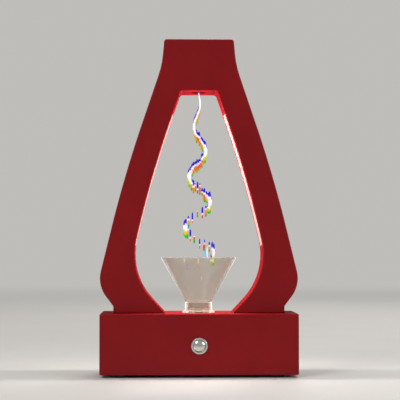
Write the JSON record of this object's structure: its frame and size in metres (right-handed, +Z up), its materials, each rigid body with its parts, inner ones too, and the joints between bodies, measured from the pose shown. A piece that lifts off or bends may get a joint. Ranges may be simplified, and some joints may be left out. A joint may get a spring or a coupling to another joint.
{
  "type": "anti-gravity fountain lamp",
  "caption": "Arch-shaped lamp on a box base: a swinging nozzle drops a wave of water past flashing light strips into a clear funnel, and a pump lifts it again.",
  "frame": {"origin": "middle of the footprint, on the surface that the feet stand on", "axes": "+Z up, the front with the push button faces -Y, +X to the viewer's right"},
  "size_m": [0.2106, 0.0826, 0.36],
  "materials": {
    "red_shell": "satin",
    "red_base": "satin",
    "black_plastic": "matt",
    "rubber": "matt",
    "steel": "zinc plated",
    "diffuser": "frosted",
    "led_board": "white solder mask",
    "led_chip": "clear",
    "clear": "clear, faint brown",
    "water": "clear",
    "zinc_plate": "pressed sheet",
    "arm_plastic": "matt",
    "brass": "turned",
    "magnet": "nickel plated",
    "iron": "soft iron",
    "copper": "enamelled copper wire",
    "hose": "clear soft hose",
    "tank": "translucent",
    "white_plastic": "matt",
    "green_board": "solder mask",
    "components": "mixed",
    "button_metal": "polished",
    "lead": "insulated wire"
  },
  "bodies": {
    "stand": {"base_housing": "red_base", "base_plate": "black_plastic", "feet": "rubber", "base_screws": "steel", "frame_front": "red_shell", "frame_rear": "red_shell", "frame_screws": "steel", "leg_screws": "steel", "left_diffuser": "diffuser", "right_diffuser": "diffuser", "left_led_board": "led_board", "right_led_board": "led_board", "left_leds": "led_chip", "right_leds": "led_chip", "funnel_collar": "clear", "collar_gasket": "rubber", "collar_nut": "white_plastic", "water_jet": "water", "head_bracket": "zinc_plate", "bracket_screws": "steel", "pivot_pin": "steel", "pivot_clip": "steel", "coil_core": "iron", "coil_bobbin": "black_plastic", "coil_winding": "copper", "hose_coupler": "white_plastic", "nozzle_hose": "hose", "riser_hose": "hose", "water_tank": "tank", "tank_gasket": "rubber", "tank_lid": "tank", "lid_grommet": "rubber", "pump_body": "black_plastic", "pump_cover": "black_plastic", "pump_shaft": "white_plastic", "pump_cups": "rubber", "control_board": "green_board", "board_components": "components", "board_screws": "steel", "dc_jack": "black_plastic", "jack_nut": "steel", "button_body": "button_metal", "button_nut": "steel", "button_spring": "steel", "button_terminals": "black_plastic", "left_led_lead": "lead", "right_led_lead": "lead", "coil_lead": "lead", "pump_lead": "lead", "button_lead": "lead", "jack_lead": "lead"},
    "nozzle_arm": {"swing_arm": "arm_plastic", "pivot_bush": "rubber", "nozzle": "brass", "arm_magnet": "magnet"},
    "impeller": {"pump_impeller": "white_plastic"},
    "button": {"button_cap": "button_metal"},
    "funnel": {"funnel": "clear"}
  },
  "joints": [
    {"name": "nozzle_swing", "type": "hinge", "parent": "stand", "child": "nozzle_arm", "pos_m": [0, 0, 0.343], "axis": [0, 1, 0], "range_deg": [-5, 5], "stiffness_Nm_per_rad": 0.06, "deforming": ["nozzle_hose"]},
    {"name": "impeller_spin", "type": "hinge", "parent": "stand", "child": "impeller", "pos_m": [0.06, 0.012, 0.025], "axis": [1, 0, 0], "continuous": true},
    {"name": "button_press", "type": "slide", "parent": "stand", "child": "button", "axis": [0, 1, 0], "range_m": [0, 0.0025], "stiffness_N_per_m": 600, "springref_m": -0.002, "deforming": ["button_spring"]},
    {"name": "funnel_lift", "type": "slide", "parent": "stand", "child": "funnel", "axis": [0, 0, 1], "range_m": [0, 0.03]}
  ]
}
